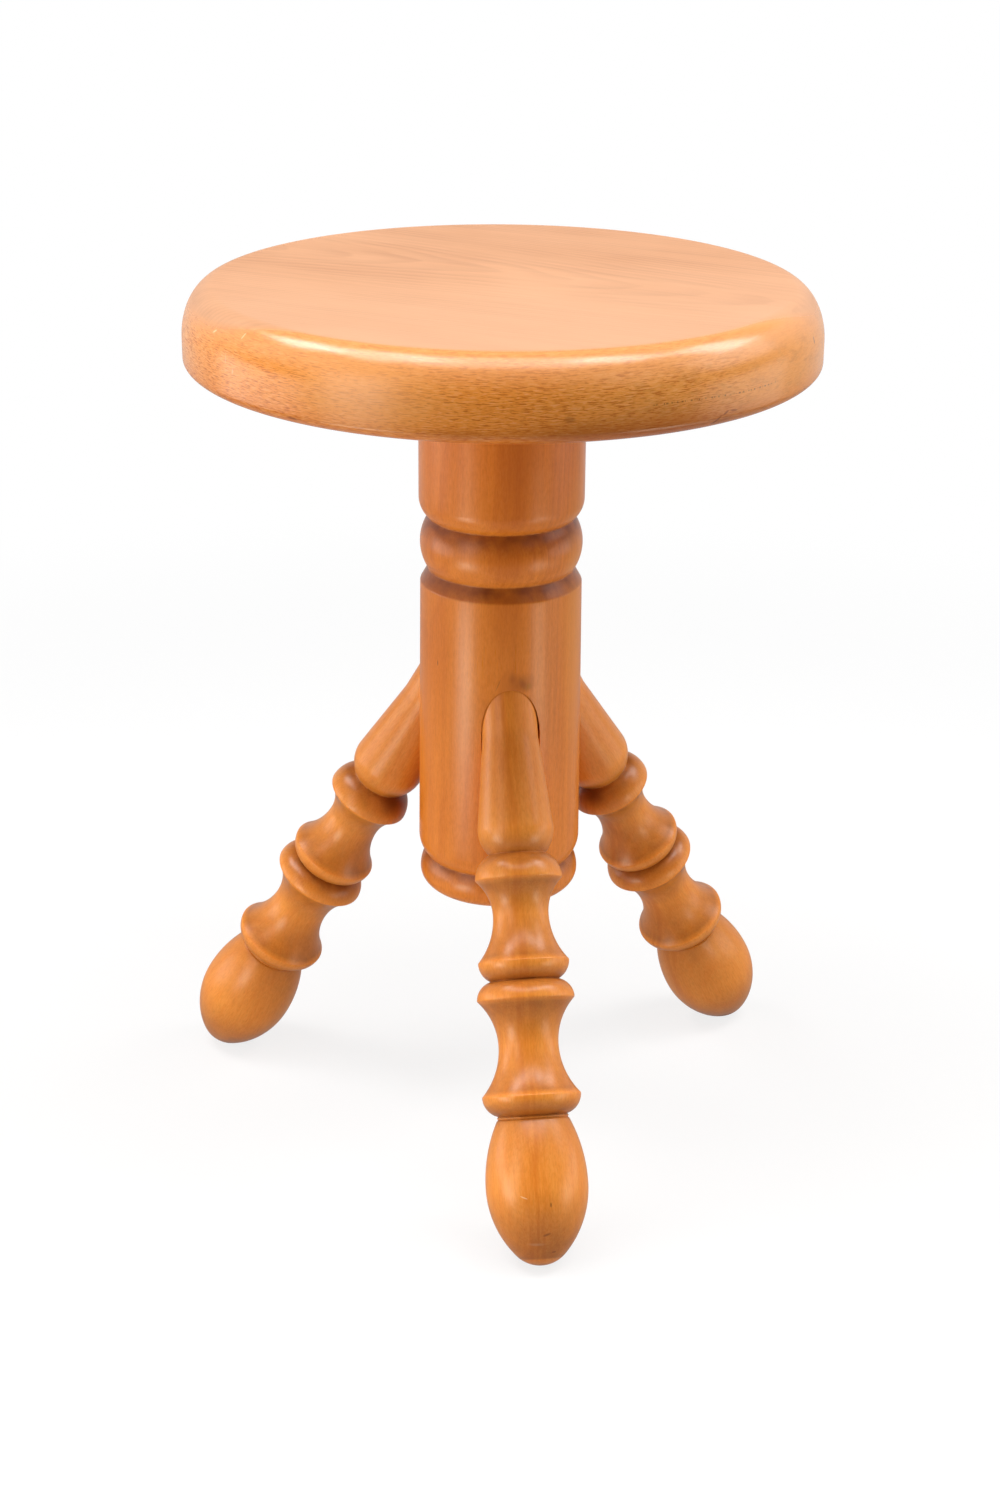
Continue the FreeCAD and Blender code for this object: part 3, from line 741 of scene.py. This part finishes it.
def seatFinish(shader, where, grain, colour, rough):
    # the rim is stained deeper than the top, which years of sitting have worn pale
    def fade(value, name):
        start, full, strength = seatLook["fades"][name]
        return shader.ramp(value, start, full) * strength

    across, back, height = (part / mm for part in shader.split(where))
    radius = (across * across + back * back).maths("SQRT")
    # at the two sides the wear goes on over the rounded edge
    toSide, wear = fade(abs(across) / radius, "toSide"), seatLook["sideWear"]
    top = fade(radius - toSide * wear["inwards"], "topInwards") * fade(height + toSide * wear["down"], "topUp")
    depth = stainDepth(grain, seatLook["figure"])
    topColour = shader.mix(depth, rgba(seatLook["topPale"]), seatLook["topStreak"])
    # paler towards the front: wear and painted light
    topColour = shader.mix(fade(back, "topFront"), topColour, seatLook["topWearAndLight"])
    endGrain = fade(abs(grain["along"]), "endGrain")
    colour = shader.mix(endGrain, colour, seatLook["endGrain"])
    # darker towards the rim's lower edge: stain and painted shade
    colour = shader.mix(fade(height, "low"), colour, seatLook["lowStainAndShade"])
    # both figures of the rim follow the way round it from the front
    degrees = across.maths("ARCTAN2", -back) * (180 / math.pi)
    along = degrees * (seat["radius"] * math.pi / 180)

    def figure(kind):
        fineAlong, fineUp, fineInwards = kind["fine"]
        return shader.noise(along * fineAlong, height * fineUp, radius * fineInwards, **kind["noise"])

    mottled = figure(seatLook["mottle"])
    colour = shader.mix(endGrain * fade(mottled, "mottle"), colour, seatLook["endFigure"])
    strokes = seatLook["strokes"]
    wavy = figure(strokes)
    shown = strokes["least"] + fade(degrees, "strokes") * (1 - strokes["least"])
    colour = shader.mix(fade(wavy, "dash") * shown, colour, strokes["tint"])
    colour = shader.mix(fade(wavy, "glint") * shown, colour, beech["glint"])
    # the upper rounded edge paler: wear and painted highlight
    colour = shader.mix(fade(height, "edge"), colour, seatLook["edgeWearAndSheen"])
    colour = shader.mix(top, colour, topColour)
    # the line of holes waves a little up and down
    holes = seatLook["holes"]
    bearing = back.maths("ARCTAN2", across)
    start, end = math.radians(holes["start"]), math.radians(holes["end"])
    ends = shader.ramp(bearing, start, start + holes["taper"]) * shader.ramp(bearing, end, end - holes["taper"])
    waved = (bearing * holes["waves"]).maths("SINE") * holes["wave"] + holes["height"]
    line = shader.ramp(abs(height - waved), holes["width"], 0.0)
    dots = fade(shader.noise(bearing * holes["fine"], 0.0, 0.0, detail=3.0), "dots")
    colour = shader.mix(ends * line * dots * fade(radius, "outside") * holes["strength"], colour, black)
    rough = rough - fade(height, "polish") * (1 - top) + top * seatLook["topRough"]
    return marksOfStainAndShade(shader, where, colour, seatLook["marks"]), rough


turnedTone = dict(pith=(60.0, 20.0), slant=0.03, wave=6.0, ringGap=3.2,
                  streak=0.46, cloud=0.4, rings=0.10, fibre=0.24, dash=0.18, glint=0.08, grime=0.9, ior=1.45)
columnLook = dict(
    tone=dict(turnedTone, base=0.70, lathe=0.06, roughness=0.29),
    marks=[
        # long streaks up the drum, one pale; the two dark ones down the middle of the front are painted shade
        # and painted reflection of the dark room in front
        ((34.8, -22.3, 290.0), (18.0, 115.0), 0, 0.95, (0.86, 0.410, 0.100), 0.32),
        ((-1.2, -41.4, 318.0), (15.0, 100.0), 0, 0.95, (0.46, 0.100, 0.006), 0.42),
        ((3.4, -41.2, 375.0), (19.0, 40.0), 0, 0.95, (0.44, 0.105, 0.008), 0.46),
        # a smear of stain above the front leg's mouth, and a nick on the left
        ((5.0, -41.0, 256.0), (11.0, 7.0), 14, 0.97, (0.28, 0.064, 0.005), 0.55),
        ((-34.7, -22.1, 262.2), (0.6, 1.9), 0, 0.6, brown, 0.7),
        ((-0.5, -41.0, 253.0), (6.4, 13.5), 0, 0.3, (0.58, 0.155, 0.014), 0.45),
        ((0.6, -41.1, 259.4), (3.2, 4.4), 0, 0.95, (0.30, 0.070, 0.006), 0.40),
        ((6.4, -40.7, 255.5), (2.4, 6.0), 30, 0.95, (0.26, 0.060, 0.006), 0.34),
        ((9.0, -40.2, 254.6), (2.6, 2.6), 0, 0.95, (0.42, 0.160, 0.012), 0.5),
        ((-6.4, -40.6, 256.0), (0.4, 5.0), -22, 0.8, brown, 0.45),
    ],
)


def columnFinish(shader, where, grain, colour, rough):
    return marksOfStainAndShade(shader, where, colour, columnLook["marks"]), rough


legLook = dict(
    tone=dict(turnedTone, base=0.42, streak=0.36, lathe=0.16, fibre=0.60, roughness=0.31),
    # redder, darker streak down the outer side: partly wood colour, partly painted reflection of the dark
    # room in front; broken up by a noise: fineness per mm, values where it breaks
    streakAndReflection=dict(offset=-4.0, half=9.5, tint=(0.62, 0.150, 0.010), strength=0.50,
              across=0.4, along=0.04, breaks=(-0.16, 0.12)),
    # each foot is worn and grubby up to about this height, mm; the edge of that waves and is soft
    wornTo=dict(front=3.2, right=6.5, left=3.0),
    footWear=dict(fine=0.3, wave=3.0, full=0.4, strength=0.7, rough=0.3),
    marks=dict(
        # nicks and scratches on the foot
        front=[
            ((3.1, -177.3, 39.3), (0.6, 1.5), 0, 0.6, brown, 0.75),
            ((-9.7, -174.2, 42.3), (2.2, 0.35), -12, 0.5, paleWood, 0.7),
            ((0.9, -180.2, 24.5), (2.8, 0.9), 18, 0.7, brown, 0.65),
            ((4.7, -178.7, 13.6), (1.6, 0.9), 0, 0.7, brown, 0.6),
            ((-4.0, -179.5, 19.0), (6.0, 1.2), 4, 0.9, paleWood, 0.3),
        ],
        # painted shade under each barrel, and a nick
        right=[
            ((54.0, 19.5, 168.0), (26.0, 10.0), 0, 0.95, shade, 0.75),
            ((150.0, 60.0, 52.0), (0.8, 0.8), 0, 0.6, brown, 0.6),
        ],
        left=[((-54.0, 19.5, 168.0), (26.0, 10.0), 0, 0.95, shade, 0.70)],
    ),
)


def legFinish(name):
    # the finish of one leg, with that leg's own marks and painted shade, its painted dark reflection and worn
    # foot
    def finish(shader, where, grain, colour, rough):
        streakAndReflection, wear, wornTo = legLook["streakAndReflection"], legLook["footWear"], legLook["wornTo"][name]
        # a darker band down the leg: partly wood colour, partly painted reflection of the dark room in front
        streak = shader.ramp(abs(grain["across"] - streakAndReflection["offset"]), streakAndReflection["half"], 0.0)
        broken = shader.noise(grain["across"] * streakAndReflection["across"], 0.0, grain["along"] * streakAndReflection["along"])
        streak = streak * shader.ramp(broken, *streakAndReflection["breaks"])
        colour = shader.mix(streak * streakAndReflection["strength"], colour, streakAndReflection["tint"])
        colour = marksOfStainAndShade(shader, where, colour, legLook["marks"][name])
        height = shader.split(where)[2] / mm
        waved = height + shader.noise(grain["along"] * wear["fine"], height * wear["fine"], 0.0) * wear["wave"]
        worn = shader.ramp(waved, wornTo, wornTo * wear["full"])
        return shader.mix(worn * wear["strength"], colour, beech["worn"]), rough + worn * wear["rough"]
    return finish


def dress(piece, material):
    piece.data.materials.clear()
    piece.data.materials.append(material)


turn = math.radians(seatLook["grainTurn"])
alongSeat = np.array([math.cos(turn), math.sin(turn), 0])
acrossSeat = np.array([-math.sin(turn), math.cos(turn), 0])
seatFrame = grainFrame(alongSeat, acrossSeat, (0, 0, stance["overallHeight"] * mm))
dress(seatPiece, woodShader("seat_beech", seatFrame, seatLook["tone"], seatFinish))
upright = grainFrame(np.array([0, 0, 1.0]), np.array([1.0, 0, 0]), (0, 0, 0))
dress(columnPiece, woodShader("column_beech", upright, columnLook["tone"], columnFinish))
for name, azimuth in leg["azimuths"].items():
    legAlong, legSide, _ = legAxes(azimuth)
    legFrame = grainFrame(legAlong, legSide, (0, 0, pivotHeight * mm))
    dress(legPieces[name], woodShader("leg_" + name + "_beech", legFrame, legLook["tone"], legFinish(name)))
print("dressed", len(bpy.data.materials), "materials")


stage = dict(
    radius=2.6, bend=0.7, wall=1.15, bendSteps=24, columns=96,
    bounce=0.48,         # how much light the floor throws back up
    white=0.9, glow=0.8,  # what the camera sees: lit white mixed with plain white
    plainFrom=0.6, plainTo=1.1,   # beyond this radius it sees plain white only
    # how bright the floor close by and the wall behind look in the lacquer; the room in front is dark
    nearGloss=0.42, nearFrom=1.1, nearTo=0.5,
    backGloss=0.72, backFrom=-0.6, backTo=1.5,
)


def makeStage():
    # a wide round tray, (r cos, r sin, height): flat floor, quarter-round bend, low upright wall
    angle = np.linspace(0, math.pi / 2, stage["bendSteps"])
    inner = stage["radius"] - stage["bend"]
    profile = np.concatenate([
        [[0, 0], [inner / 2, 0]],
        np.stack([inner + stage["bend"] * np.sin(angle), stage["bend"] * (1 - np.cos(angle))], axis=1),
        [[stage["radius"], stage["bend"] + stage["wall"]]],
    ])
    turns = np.linspace(0, 2 * math.pi, stage["columns"] + 1)
    grid = np.stack([profile[:, :1] * np.cos(turns), profile[:, :1] * np.sin(turns),
                     profile[:, 1:] + 0 * turns], axis=2)
    mesh = bpy.data.meshes.new("studio_floor")
    mesh.from_pydata(grid.reshape(-1, 3).tolist(), [], gridQuads(*grid.shape[:2]).tolist())
    mesh.polygons.foreach_set("use_smooth", np.ones(len(mesh.polygons), dtype=bool))
    floor = bpy.data.objects.new("studio_floor", mesh)
    bpy.context.scene.collection.objects.link(floor)
    # the camera sees white that keeps the stool's shadow, the lacquer mirrors the brightness set above
    # for each part of the room, and all other light meets a darker floor, so that little is thrown back up
    shader = Shader(bpy.data.materials.new("pale_floor"))
    where = shader.node("TexCoord", output="Object")
    across, back, _ = shader.split(where)
    radius = (across * across + back * back).maths("SQRT")
    near = shader.ramp(radius, stage["nearFrom"], stage["nearTo"])
    behind = shader.ramp(back, stage["backFrom"], stage["backTo"]) * stage["backGloss"]
    inLacquer = near * (stage["nearGloss"] - behind) + behind
    plain = stage["glow"] + shader.ramp(radius, stage["plainFrom"], stage["plainTo"]) * (1 - stage["glow"])
    dark, white = shader.node("Emission", Strength=0.0), shader.node("Emission", Strength=1.0)
    lit = shader.node("BsdfDiffuse", Color=rgba((stage["white"],) * 3))
    seen = shader.node("MixShader", i0=plain, i1=lit, i2=white)
    dim = shader.node("BsdfDiffuse", Color=rgba((stage["bounce"],) * 3))
    mirrored = shader.node("LightPath", output="Is Glossy Ray").maths(
        "MAXIMUM", shader.node("LightPath", output="Is Transmission Ray"))
    room = shader.node("MixShader", i0=inLacquer, i1=dark, i2=white)
    others = shader.node("MixShader", i0=mirrored, i1=dim, i2=room)
    inView = shader.node("LightPath", output="Is Camera Ray")
    shader.close(shader.node("MixShader", i0=inView, i1=others, i2=seen))
    mesh.materials.append(shader.owner)


camera = dict(
    distance=1.27754, height=0.72639,
    swing=7.652,      # how far it stands round from straight ahead of the front leg, degrees
    pitch=22.224, yaw=0.011, roll=-0.489,
    lens=63.73, sensor=36.0,      # mm
    nearest=0.05, farthest=50.0,
)


def makeCamera():
    swing, pitch, yaw, roll = (math.radians(camera[key]) for key in ("swing", "pitch", "yaw", "roll"))
    ahead = Vector((math.sin(yaw) * math.cos(pitch), math.cos(yaw) * math.cos(pitch), -math.sin(pitch)))
    right = Vector((math.cos(yaw), -math.sin(yaw), 0))
    down = ahead.cross(right)
    right, down = (math.cos(roll) * right + math.sin(roll) * down,
                   math.cos(roll) * down - math.sin(roll) * right)
    axes = Matrix([right, -down, -ahead]).transposed()
    swung = Matrix.Rotation(-swing, 3, "Z")
    made = bpy.data.cameras.new("photo_camera")
    made.lens, made.sensor_width = camera["lens"], camera["sensor"]
    made.clip_start, made.clip_end = camera["nearest"], camera["farthest"]
    shown = bpy.data.objects.new("photo_camera", made)
    spot = swung @ Vector((0, -camera["distance"], camera["height"]))
    shown.matrix_world = Matrix.Translation(spot) @ (swung @ axes).to_4x4()
    bpy.context.scene.collection.objects.link(shown)
    bpy.context.scene.camera = shown


lamps = dict(
    # where each softbox stands as the camera sees it: to the right, away, up; its width and height; metres,
    # watts, and how warm its light is, from 0 for white
    overLeft=dict(at=(-0.62, -0.12, 1.67), size=(0.72, 0.60), power=8.2),
    overFront=dict(at=(0.0, -0.32, 1.68), size=(1.06, 0.80), power=11.3),
    overRight=dict(at=(0.60, -0.20, 1.67), size=(0.42, 0.45), power=5.6),
    sideLeft=dict(at=(-0.92, 0.26, 1.52), size=(0.52, 0.38), power=6.4),
    sideRight=dict(at=(1.00, 0.25, 1.38), size=(0.50, 0.50), power=6.4),
    highLeft=dict(at=(-1.20, -0.20, 1.04), size=(0.90, 0.60), power=1.1),
    highRight=dict(at=(1.28, 0.03, 1.04), size=(0.90, 0.60), power=3.5),
    frontRight=dict(at=(0.85, -0.85, 1.00), size=(0.50, 0.50), power=0.4),
    midLeft=dict(at=(-0.50, -0.50, 0.50), size=(0.30, 0.50), power=0.42),
    lowLeft=dict(at=(-0.77, -0.64, 0.38), size=(0.42, 0.74), power=1.25),
    farLeft=dict(at=(-1.30, 0.00, 0.25), size=(0.95, 0.46), power=3.4),
    farRight=dict(at=(1.30, 0.00, 0.25), size=(0.95, 0.46), power=2.2),
    nearLeft=dict(at=(-0.40, -0.34, 0.07), size=(0.20, 0.13), power=0.68, warm=0.3),
    nearRight=dict(at=(0.425, -0.31, 0.09), size=(0.18, 0.16), power=0.40, warm=0.3),
    nearEast=dict(at=(0.51, -0.10, 0.10), size=(0.24, 0.18), power=0.12, warm=0.3),
)
aim = (0, 0, 0.28)      # the spot that all lamps face
warmGreen = 0.35        # share of the lost blue that a warm lamp loses in green
fill = 0.03             # strength of the room's own light


def makeLamps():
    swung = Matrix.Rotation(math.radians(-camera["swing"]), 3, "Z")
    for name, setting in lamps.items():
        spot = swung @ Vector(setting["at"])
        light = bpy.data.lights.new(name, "AREA")
        light.shape = "RECTANGLE"
        light.size, light.size_y = setting["size"]
        light.energy = setting["power"]
        warm = setting.get("warm", 0)
        light.color = (1.0, 1.0 - warmGreen * warm, 1.0 - warm)
        lamp = bpy.data.objects.new(name, light)
        lamp.location = spot
        lamp.rotation_euler = (Vector(aim) - spot).to_track_quat("-Z", "Y").to_euler()
        lamp.visible_camera = False
        bpy.context.scene.collection.objects.link(lamp)


def makeWorld():
    # white where the camera looks past the tray, a weak fill for everything else
    world = bpy.data.worlds.new("studio")
    bpy.context.scene.world = world
    shader = Shader(world)
    strength = shader.node("LightPath", output="Is Camera Ray") * (1 - fill) + fill
    shader.close(shader.node("Background", Color=rgba((1, 1, 1)), Strength=strength), "OutputWorld")


makeStage()
makeCamera()
makeLamps()
makeWorld()
bpy.context.scene.view_settings.view_transform = "Standard"
print("stage, camera and", len(lamps), "lamps are set")
